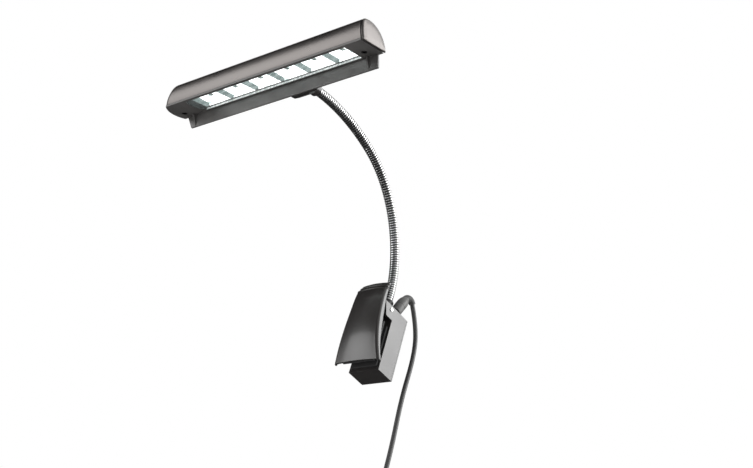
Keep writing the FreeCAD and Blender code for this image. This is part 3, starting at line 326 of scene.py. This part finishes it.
def spring_leg(x, lean, side, long):
    """Where a leg leaves the coil in front of (-1) or behind (1) the pin, and its run."""
    turn = math.radians(lean)
    start = Vector((x, pin_y + side * coil_radius * math.cos(turn),
                    pin_z + side * coil_radius * math.sin(turn)))
    return start, Vector((0, -math.sin(turn), math.cos(turn))) * long


path = []
start, out = spring_leg(spring_left, jaw_lean, -1, jaw_leg)
path += [(start + out * (1 - t)) * mm for t in np.linspace(0, 1, 12)]
first = math.radians(jaw_lean) - math.pi
last = math.radians(housing_lean)
for t in np.linspace(0, 1, 24 * coils)[1:]:
    a = first - t * (2 * math.pi * (coils - 1) + (first - last))
    path.append(Vector((spring_left + (coils - 1) * t, pin_y + coil_radius * math.cos(a),
                        pin_z + coil_radius * math.sin(a))) * mm)
start, out = spring_leg(spring_right, housing_lean, 1, housing_leg)
path += [(start + out * t) * mm for t in np.linspace(0, 1, 10)[1:]]
points, faces = tube(path, wire * 0.48 * mm, 10)
spring = solid("torsion_spring_wire", points, faces, pin_steel, None, 60)
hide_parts("torsion_spring")
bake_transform(spring)

# ------------------------------------------------------------------ gooseneck
# The neck is a steel gooseneck: round wire wound tight over a core, bright chromed, so
# its coils show as fine ribs. It turns in a black ferrule at its foot.
dress(node["lower_ferrule"], part_black, 0.25)
neck_arcs = [37.62] * 5 + [40.82]
neck_turns = [22.1, 17.9, 19.95, 24.2, 13.8, 15.84]
foot = Vector((0.0, 12.822, 19.590))
foot_angle = 83.42


def neck_point(s):
    """Place and heading of the neck's middle line, s millimetres above its foot."""
    at, angle = foot.copy(), foot_angle
    for long, turn in zip(neck_arcs, neck_turns):
        part = min(max(s, 0.0), long)
        bend = long / math.radians(turn)
        begin = math.radians(angle)
        end = begin + part / bend
        at = at + Vector((0, math.sin(end) - math.sin(begin),
                          math.cos(begin) - math.cos(end))) * bend
        angle += math.degrees(part / bend)
        s -= part
        if s <= 0:
            break
    return at, math.radians(angle)


coil_pitch, rib_share, groove_deep, hose_radius = 2.2, 0.52, 0.55, 4.0
rib_crown = 0.08
blend_reach = 14


def hose(start, stop, sides=28, samples=14):
    """Ribbed hose between two lengths: a round wire and a groove painted black for the shade and dirt
    in it, wound as a helix.
    """
    rings, slots = [], []
    steps = int(round((stop - start) / coil_pitch * samples))
    for i in range(steps + 1):
        s = start + (stop - start) * i / steps
        at, angle = neck_point(s)
        across = Vector((0, math.sin(angle), -math.cos(angle)))
        ring = []
        for j in range(sides):
            a = 2 * math.pi * j / sides
            phase = (s / coil_pitch - j / sides) % 1.0
            r = hose_radius - groove_deep
            if phase < rib_share:
                r = hose_radius - rib_crown * (2 * phase / rib_share - 1) ** 2
            round_at = Vector((1, 0, 0)) * math.cos(a) + across * math.sin(a)
            ring.append((at + round_at * r) * mm)
            if i < steps:
                middle = (s / coil_pitch + 0.5 / samples - (j + 0.5) / sides) % 1.0
                # faces in the groove take slot 1, black as painted shade (and dirt) between the coils
                slots.append(0 if 0.06 < middle < rib_share - 0.03 else 1)
        rings.append(ring)
    points, faces = skin(rings)
    return points, faces, slots + [1, 1]


neck_chrome = metal("neck_chrome", (0.74, 0.74, 0.74), 0.12, scratch=0.08, size=0.0005,
                    stretch=(1, 1, 1))
# black for grooves and joints, a painted shade: the hose's grooves and the head cap's joint
painted_groove_shade = plastic("painted_groove_shade", (0.012, 0.012, 0.012), 0.6, size=0.0004)
starts = [sum(neck_arcs[:k]) for k in range(7)]
cuts = [0.0] + [(starts[k] + starts[k + 1]) / 2 for k in range(6)] + [starts[6]]
# seven hose pieces: the two end ones ride on one body, the others stay where they are built
for k in range(7):
    points, faces, slots = hose(cuts[k], cuts[k + 1])
    name = {0: "hose_foot", 6: "hose_tip"}.get(k, "hose_%d" % k)
    rides = {0: "neck_foot", 6: "head"}.get(k)
    made = solid(name, points, faces, neck_chrome, rides, 80, slots)
    made.data.materials.append(painted_groove_shade)
    if rides:
        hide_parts("neck_1" if k == 0 else "neck_6")
        continue
    if k < 5:
        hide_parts("neck_%d" % (k + 1))
    low, _ = neck_point(starts[k] - blend_reach)
    high, _ = neck_point(starts[k] + blend_reach)
    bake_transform(made)

# ------------------------------------------------------------------ neck block and switch
# A moulded block is screwed to the back of the head. The neck's end is pressed in it in
# a black sleeve, and the push switch sits in its rear face beside the neck.
for name, finish, edge in (("neck_block", shell_black, 0.3), ("upper_ferrule", part_black, 0.2),
                           ("block_screws", screw_black, 0.12), ("switch_body", part_black, 0.2),
                           ("switch_button", part_black, 0.25)):
    dress(node[name], finish, edge)

# ------------------------------------------------------------------ lamp head
# The housing is one moulding: a D-shaped trough 29 mm deep whose left end is rounded
# like a ball, painted in satin warm black. A domed cap closes its right end.
head_at, head_tilt = (0, -175.256, 126.214), 23.67
head = (Matrix.Translation(Vector(head_at) * mm)
        @ Matrix.Rotation(math.radians(head_tilt), 4, "X"))


def at_head(x, u, v):
    """A point given along the head, back over its depth, and up from its light face."""
    return head @ (Vector((x, u, v)) * mm)


head_right = 72.0
back_u, back_v, back_radius = 8.5, -1.5, 20.8
brow_radius = 5.0
brow_v = back_v + math.sqrt((back_radius - brow_radius) ** 2 - (back_u - brow_radius) ** 2)
nose = (-118.6, 20.0, -2.0)
nose_radius = 30.0
joint_gap = 0.22
front_turn = math.radians(12)
front_low = 1.6 + joint_gap


def section(inset, low, steps=64):
    """D-shaped section from the lower rear corner over the top to the lower front edge."""
    back, brow = back_radius - inset, brow_radius - inset
    first = math.asin((low - back_v) / back)
    meet = math.atan2(brow_v - back_v, brow_radius - back_u)
    path = [(back_u + back * math.cos(a), back_v + back * math.sin(a))
            for a in np.linspace(first, meet, steps)]
    path += [(brow_radius + brow * math.cos(a), brow_v + brow * math.sin(a))
             for a in np.linspace(meet, math.pi - front_turn, 16)[1:]]
    tall = brow_v + brow_radius * math.sin(front_turn) - front_low
    bow = tall / (2 * math.sin(front_turn)) - inset
    middle_u = brow_radius + (bow + inset - brow_radius) * math.cos(front_turn)
    middle_v = front_low + tall / 2
    path += [(middle_u - bow * math.cos(a), middle_v + bow * math.sin(a))
             for a in np.linspace(front_turn, -front_turn, 18)[1:]]
    return path + [(path[-1][0], low)]


def reach(u, v, radius, blend_by=1.6):
    """Pull a section point in to the ball of the nose, with a small round between them."""
    du, dv = u - nose[1], v - nose[2]
    far = math.hypot(du, dv)
    gap = radius - far
    near = min(far, radius) - max(0.0, blend_by - abs(gap)) ** 2 / (4 * blend_by)
    return nose[1] + du / far * near, nose[2] + dv / far * near


def head_ring(x, inset, low):
    """Section at x, cut by the nose ball and kept above its lower edge."""
    radius = nose_radius - inset
    if x < nose[0]:
        radius = math.sqrt(max(0.01, radius ** 2 - (x - nose[0]) ** 2))
    ring = [reach(u, v, radius) if x < nose[0] + 12 else (u, v) for u, v in section(inset, low)]
    return [at_head(x, u, max(v, low)) for u, v in ring]


last_x = nose[0] - math.sqrt(nose_radius ** 2 - (front_low - nose[2]) ** 2)
along = [head_right, head_right - 0.3, head_right - 3.0, 40.0, 0.0, -40.0, -80.0]
along += list(np.linspace(-100.0, nose[0], 10))
along += [nose[0] - (nose[0] - last_x) * math.sin(a) for a in np.linspace(0, math.pi / 2, 44)[1:]]
head_wall, nose_wall = 1.8, 2.2
outside = [head_ring(x, 0.0, front_low) for x in along]
inside = [head_ring(max(x, last_x + nose_wall), head_wall, front_low) for x in along]
points, faces = skin([o + i[::-1] for o, i in zip(outside, inside)])
paint_black = plastic("paint_black", (0.112, 0.104, 0.100), 0.30, metal=0.85, grain=0.12, size=0.0009)
housing = solid("head_shell", points, faces, paint_black, "head", 40)
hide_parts("head_housing")

# the cap, as inset and distance past the head's end: a spigot, a joint groove painted black as the
# shade in the gap, a dome
cap_rings = [(3.4, -3.6), (1.95, -3.6), (1.95, 0.8), (0.5, 0.8), (0.15, 0.92), (0.0, 1.2), (0.0, 1.4)]
cap_rings += [(1.6 * (1 - math.cos(a)), 1.4 + 1.3 * math.sin(a))
              for a in np.linspace(0, math.pi / 2, 9)[1:]]
cap_rings += [(3.0, 2.84), (4.2, 2.93), (4.9, 2.97)]
rings = []
for inset, out in cap_rings:
    floor_v = 1.7 if out < 0.9 and inset > 1 else min(inset, 4.9)
    rings.append([at_head(head_right + out, u, v) for u, v in section(inset, floor_v, 40)])
points, faces = skin(rings)
per_ring = len(rings[0])
# slot 1, the spigot and the floor of the joint groove, is painted black as the shade in the joint
cap = solid("head_cap", points, faces, paint_black, "head", 40,
            [1 if i < per_ring * 3 else 0 for i in range(len(faces) - 2)] + [1, 0])
cap.data.materials.append(painted_groove_shade)
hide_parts("end_cap")

# ------------------------------------------------------------------ light cover
# One moulding frames the window and carries the rear shade that keeps glare out of the
# eyes, with a gusset near each end. Two black screws in sunk holes hold it.
# the strong cloud is painted light: its lighter patches stand for the chips' light falling on the
# shade
cover_black = plastic("cover_black", (0.075, 0.072, 0.069), 0.36, cloud=0.3, grain=0.3)
dress(node["light_cover"], cover_black, 0.22)
dress(node["cover_screws"], screw_black, 0.15)

# ------------------------------------------------------------------ light
# Six surface-mounted chips sit in a white moulded tray with one flared cell each; their light is
# painted into the tray as emission.
# A clear moulded lens lies over the tray, ribbed along its rear edge.
dress(node["led_board"], plastic("board_white", (0.75, 0.77, 0.74), 0.45, cloud=0.03), 0.1)
dress(node["leds"], plastic("chip", (0.20, 0.22, 0.20), 0.3, cloud=0.3, size=0.0002), 0.1)


def lit(name, dark, light, glow, scale, low=0.36, high=0.52):
    """Clear or white moulding with the chips' light painted into it as emission, in uneven patches."""
    made, shader, add, link, place = fresh(name)
    shader.inputs["Roughness"].default_value = 0.25
    shader.inputs["Emission Strength"].default_value = glow
    patches = noise(add, link, stretched(add, link, place, scale), 1.0, 3.0)
    tone = two_tone(add, link, patches, low, high, dark, light)
    link(tone, shader.inputs["Base Color"])
    link(tone, shader.inputs["Emission Color"])
    return made


# the tray: per cell a floor with painted light that comes down to the rear, a chip and walls with
# painted shade
cells, cell_first, cell_pitch, cell_gap = 6, -116.6, 28.85, 0.9
mouth, front, rear = 2.9, 3.6, 25.2
deep_v, bend_u, bend_v, toe_u, toe_v = 8.0, 17.8, 7.6, 23.8, 4.4
fold_u, fold_v = 13.5, 6.6
lean = 0.4
floor_line = [(front, deep_v), (bend_u, bend_v), (toe_u, toe_v)]
lit_from = [2.4, 3.6, 5.2]
chip_half, chip_u, chip_v = 1.7, 16.4, 7.15
panes, pane_slots = [], []


def pane(slot, *corners):
    """One flat face of a cell: slot 0 is the floor with painted light, 1 a wall with painted shade, 2
    the chip.
    """
    panes.append([at_head(*c) for c in corners])
    pane_slots.append(slot)


for i in range(cells):
    a, b = cell_first + cell_pitch * i, cell_first + cell_pitch * (i + 1) - cell_gap
    start, bend, toe = [(a + dx, u, v) for dx, (u, v) in zip(lit_from, floor_line)]
    start_b, bend_b, toe_b = [(b - lean, u, v) for u, v in floor_line]
    heel, fold = (a + 1.2, front, fold_v), (a + 2.4, fold_u, fold_v)
    front_a, front_b = (a, front, mouth), (b, front, mouth)
    rear_a, rear_in, rear_b = (a, rear, mouth), (a + 3.6, rear, mouth), (b, rear, mouth)
    pane(0, start, bend, bend_b, start_b)
    pane(0, bend, toe, toe_b, bend_b)
    pane(0, toe, rear_in, rear_b, toe_b)
    pane(1, front_a, rear_a, rear_in, toe, fold, heel)
    pane(0, heel, fold, toe, bend, start)
    pane(1, front_b, rear_b, toe_b, bend_b, start_b)
    pane(1, front_a, front_b, start_b, start, heel)
    pane(0, front_b, (b + cell_gap, front, mouth), (b + cell_gap, rear, mouth), rear_b)
    chip = [((a + b) / 2 + x * chip_half, chip_u + u * chip_half)
            for x, u in ((-1, -1), (1, -1), (1, 1), (-1, 1))]
    pane(2, *[(*at, chip_v) for at in chip])
    for at, after in zip(chip, chip[1:] + chip[:1]):
        pane(2, (*at, chip_v), (*after, chip_v), (*after, deep_v), (*at, deep_v))
points, faces = [], []
for corners in panes:
    faces.append(tuple(range(len(points), len(points) + len(corners))))
    points += corners
# the floors glow as painted light for the chips' light on the white tray; the walls get a darker copy
# with little glow as painted shade
cell_painted_glow = lit("cell_painted_glow", (0.34, 0.42, 0.41), (1, 1, 1), 1.9, (260, 420, 420))
cell_side_painted_shade = lit("cell_side_painted_shade", (0.20, 0.26, 0.25), (0.42, 0.49, 0.48), 0.25, (150, 300, 300), 0.35, 0.65)
chip_dome = lit("chip_dome", (0.06, 0.08, 0.075), (0.22, 0.26, 0.24), 0.0, (700, 700, 700), 0.4, 0.6)
tray = solid("tray_cells", points, faces, cell_painted_glow, "head", 20, pane_slots)
tray.data.materials.append(cell_side_painted_shade)
tray.data.materials.append(chip_dome)
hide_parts("reflector")


def clear_plastic(name, alpha):
    """Clear moulded acrylic, slightly wavy."""
    made, shader, add, link, place = fresh(name)
    shader.inputs["Base Color"].default_value = (0.80, 0.90, 0.89, 1)
    shader.inputs["Roughness"].default_value = 0.08
    shader.inputs["Alpha"].default_value = alpha
    relief(add, link, shader, noise(add, link, place, 260.0, 2.0), 0.2, 0.2 * mm)
    return made


# the lens: its clear plate, and the ribbed wall that fills the rear of the window
dress(node["lens"], clear_plastic("lens_clear", 0.08), 0.2)
rib_pitch = 1.5
ribs = []
for i in range(int((cells * cell_pitch - cell_gap) / rib_pitch)):
    x = cell_first + rib_pitch * (i + 0.5)
    ribs.append(skin([[at_head(x - 0.6 * math.cos(a), 25.75 - 0.5 * math.sin(a), v)
                       for a in np.linspace(0, math.pi, 7)] for v in (0.3, 1.6)]))
ribs.append(slab([(25.2, 0.25), (25.85, 0.25), (25.85, 0.55), (25.2, 0.55)], 0, cell_first, 55.0))
ribs[-1] = ([head @ p for p in ribs[-1][0]], ribs[-1][1])
# the ribs glow faintly as painted light, for the chips' light caught in the clear strip
rib_clear = lit("rib_clear", (0.50, 0.55, 0.54), (0.85, 0.88, 0.87), 0.12, (500, 200, 200), 0.4, 0.6)
join("lens_ribs", ribs, rib_clear, "head", 40)

# ------------------------------------------------------------------ power lead
# A moulded plug with a curved, slit strain relief stands in the jack. Its lead arches
# over and hangs behind the panel; the spare length is wound in a ring and tied, and the
# wall adapter hangs below it.
cable_black = plastic("cable_black", (0.050, 0.050, 0.049), 0.40, grain=0.3, size=0.0008)
plug_grey = plastic("plug_grey", (0.085, 0.084, 0.082), 0.45, grain=0.5, size=0.0005)
plug_lean, plug_long, hook_radius, hook_turn = 24.7, 21.0, 6.0, 115.0
seat = (Matrix.Translation(Vector((9.3, 15.49, 14.18)) * mm)
        @ Matrix.Rotation(math.radians(-plug_lean), 4, "X"))
around = np.linspace(0, 2 * math.pi, 40, endpoint=False)
profile = [(4.3, 0.02), (4.65, 0.1), (4.78, 0.45), (4.78, 8.0), (4.6, 8.3), (4.6, 8.9), (4.78, 9.2),
           (4.78, 14.5), (4.6, 16.0), (4.2, 17.6), (3.75, 19.2), (3.55, 20.0)]
rings = [[seat @ (Vector((r * math.cos(a), r * math.sin(a), z)) * mm) for a in around]
         for r, z in profile]
hook_steps, slit_deep = 90, 0.42
for i in range(hook_steps + 1):
    t = i / hook_steps
    turn = math.radians(hook_turn) * t
    slit = slit_deep if (i % 10) in (4, 5, 6, 7) and 5 < i < 86 else 0.0
    r = 3.3 - 0.45 * t - slit
    middle = Vector((0, hook_radius * (1 - math.cos(turn)),
                     plug_long - 0.6 * (1 - t) + hook_radius * math.sin(turn)))
    across = Vector((0, math.cos(turn), -math.sin(turn)))
    rings.append([seat @ ((middle + Vector((r * math.cos(a), 0, 0)) + across * r * math.sin(a)) * mm)
                  for a in around])
points, faces = skin(rings)
plug = solid("plug_moulding", points, faces, plug_grey, "clip", 30)
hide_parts("power_plug")
dress(node["plug_tip"], pin_steel, 0.1)

cord_thick = 4.0
leave = math.radians(90 - plug_lean - hook_turn)
cord_start = Vector((9.3, 34.292, 34.632))
cord_way = Vector((0, math.cos(leave), math.sin(leave)))
ring_at = Vector((-19.1, 51.0, -145.0))
ring_radius, pack = 24.0, 5.5
# nine turns lie in the ring: eight round a ninth; each crosses to the next near its end
places = [math.radians(22.5 + 45 * k) for k in range(8)]
slots = [(pack * math.cos(a), pack * math.sin(a)) for a in places]
slots = slots[:4] + [(0.0, 0.0)] + slots[4:]
lead = [cord_start, cord_start + cord_way * 20, Vector((10.4, 52.4, -6)), Vector((9.5, 51.2, -48)),
        Vector((10.5, 53.4, -92)), Vector((10.1, 53.1, -137))]
turns = len(slots)
per_turn = 24
for i in range(turns * per_turn + 1):
    angle = 2 * math.pi * i / per_turn
    k = min(int(i / per_turn), turns - 1)
    inside_turn = angle - 2 * math.pi * k
    a, b = slots[k]
    if k < turns - 1:
        middle = math.radians(322 - 36 * k)
        t = min(max((inside_turn - middle) / math.radians(34) + 0.5, 0), 1)
        t = t * t * (3 - 2 * t)
        a += (slots[k + 1][0] - a) * t
        b += (slots[k + 1][1] - b) * t
    reach_out = ring_radius + a
    lead.append(ring_at + Vector((reach_out * math.cos(angle), b, -reach_out * math.sin(angle))))
lead += [Vector((10.1, 48.9, -152)), Vector((11.0, 50.2, -169)), Vector((10.8, 51.0, -186))]


def cord(name, points, thick, finish):
    line = bpy.data.curves.new(name, "CURVE")
    line.dimensions = "3D"
    spline = line.splines.new("NURBS")
    spline.points.add(len(points) - 1)
    for at, point in zip(points, spline.points):
        point.co = (*(at * mm), 1)
    spline.order_u = 3
    spline.use_endpoint_u = True
    spline.resolution_u = 6
    line.bevel_depth = thick / 2 * mm
    line.bevel_resolution = 5
    line.use_fill_caps = True
    made = bpy.data.objects.new(name, line)
    bpy.context.scene.collection.objects.link(made)
    made.data.materials.append(finish)
    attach(made, "clip")
    return made


power_lead = cord("power_lead", lead, cord_thick, cable_black)
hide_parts("cord_lead", "cord_coil", "cord_tail")
for name, finish, edge in (("cord_tie", part_black, 0.2), ("adapter_relief", part_black, 0.3),
                           ("adapter_body", part_black, 0.8), ("adapter_prongs", pin_steel, 0.3)):
    dress(node[name], finish, edge)

# ------------------------------------------------------------------ studio
# A pale floor far below the lamp and soft boxes at the right, the front left and below. In
# a mirror the surround is bright at the right, the back and the far left, and dark between.
world = bpy.data.worlds.new("studio")
bpy.context.scene.world = world
world.use_nodes = True
tree = world.node_tree
add, link = tree.nodes.new, tree.links.new
surround = tree.nodes["Background"]
place = add("ShaderNodeTexCoord")
toward = add("ShaderNodeVectorMath")
toward.operation = "DOT_PRODUCT"
toward.inputs[1].default_value = (0.76, 0.46, 0.46)
link(place.outputs["Generated"], toward.inputs[0])
lift = add("ShaderNodeMapRange")
lift.inputs["From Min"].default_value = -1.0
lift.inputs["From Max"].default_value = 1.0
link(toward.outputs["Value"], lift.inputs["Value"])
fall = add("ShaderNodeValToRGB")
fall.color_ramp.elements[0].position = 0.05
fall.color_ramp.elements[0].color = (0.8, 0.8, 0.8, 1)
fall.color_ramp.elements[1].position = 0.70
fall.color_ramp.elements[1].color = (0.95, 0.95, 0.95, 1)
for where in (0.12, 0.54):
    fall.color_ramp.elements.new(where).color = (0.02, 0.02, 0.02, 1)
link(lift.outputs["Result"], fall.inputs["Fac"])
ray = add("ShaderNodeLightPath")
mirrored = add("ShaderNodeMix")
mirrored.data_type = "RGBA"
mirrored.inputs["A"].default_value = (0.55, 0.55, 0.56, 1)
link(ray.outputs["Is Glossy Ray"], mirrored.inputs["Factor"])
link(fall.outputs["Color"], mirrored.inputs["B"])
seen = add("ShaderNodeMath")
seen.operation = "MAXIMUM"
link(ray.outputs["Is Camera Ray"], seen.inputs[0])
link(ray.outputs["Is Transmission Ray"], seen.inputs[1])
white = add("ShaderNodeMix")
white.data_type = "RGBA"
white.inputs["B"].default_value = (1, 1, 1, 1)
link(seen.outputs["Value"], white.inputs["Factor"])
link(mirrored.outputs["Result"], white.inputs["A"])
link(white.outputs["Result"], surround.inputs["Color"])

floor_mesh = bpy.data.meshes.new("floor")
reach_of_floor, floor_z = 6.0, -0.9
floor_mesh.from_pydata([(x * reach_of_floor, y * reach_of_floor, floor_z)
                        for x, y in ((-1, -1), (1, -1), (1, 1), (-1, 1))], [], [(0, 1, 2, 3)])
floor = bpy.data.objects.new("floor", floor_mesh)
bpy.context.scene.collection.objects.link(floor)
floor_pale = plastic("floor_pale", (0.85, 0.85, 0.85), 0.8, cloud=0.01, grain=0.0)
tree = floor_pale.node_tree
shader = tree.nodes["Principled BSDF"]
shader.inputs["Specular IOR Level"].default_value = 0.0
pale = shader.inputs["Base Color"].links[0].from_socket
dim = tree.nodes.new("ShaderNodeMix")
dim.data_type = "RGBA"
dim.inputs["B"].default_value = (0.05, 0.05, 0.05, 1)
tree.links.new(tree.nodes.new("ShaderNodeLightPath").outputs["Is Glossy Ray"], dim.inputs["Factor"])
tree.links.new(pale, dim.inputs["A"])
tree.links.new(dim.outputs["Result"], shader.inputs["Base Color"])
floor.data.materials.append(floor_pale)


def softbox(name, where, size, power):
    light = bpy.data.lights.new(name, "AREA")
    light.shape = "RECTANGLE"
    light.size, light.size_y = size
    light.energy = power
    made = bpy.data.objects.new(name, light)
    bpy.context.scene.collection.objects.link(made)
    made.location = where
    aim = Vector((0, -0.06, 0.06)) - Vector(where)
    made.rotation_euler = aim.to_track_quat("-Z", "Y").to_euler()


softbox("right_box", (1.3, 0.9, 0.9), (1.2, 1.6), 32)
softbox("front_box", (-1.2, -1.78, 0.05), (1.0, 1.15), 15)
softbox("low_box", (0.5, -1.2, -0.85), (1.2, 1.2), 6)

lens_data = bpy.data.cameras.new("camera")
lens_data.lens = 1062.3 / 753 * 36
lens_data.sensor_width = 36
camera = bpy.data.objects.new("camera", lens_data)
bpy.context.scene.collection.objects.link(camera)
camera.matrix_world = Matrix((
    (0.80269, 0.17037, 0.57154, 0.5141),
    (0.54703, -0.59209, -0.59177, -0.55558),
    (0.23758, 0.78766, -0.56846, -0.44124),
    (0, 0, 0, 1)))
bpy.context.scene.camera = camera
bpy.context.scene.view_settings.view_transform = "Standard"
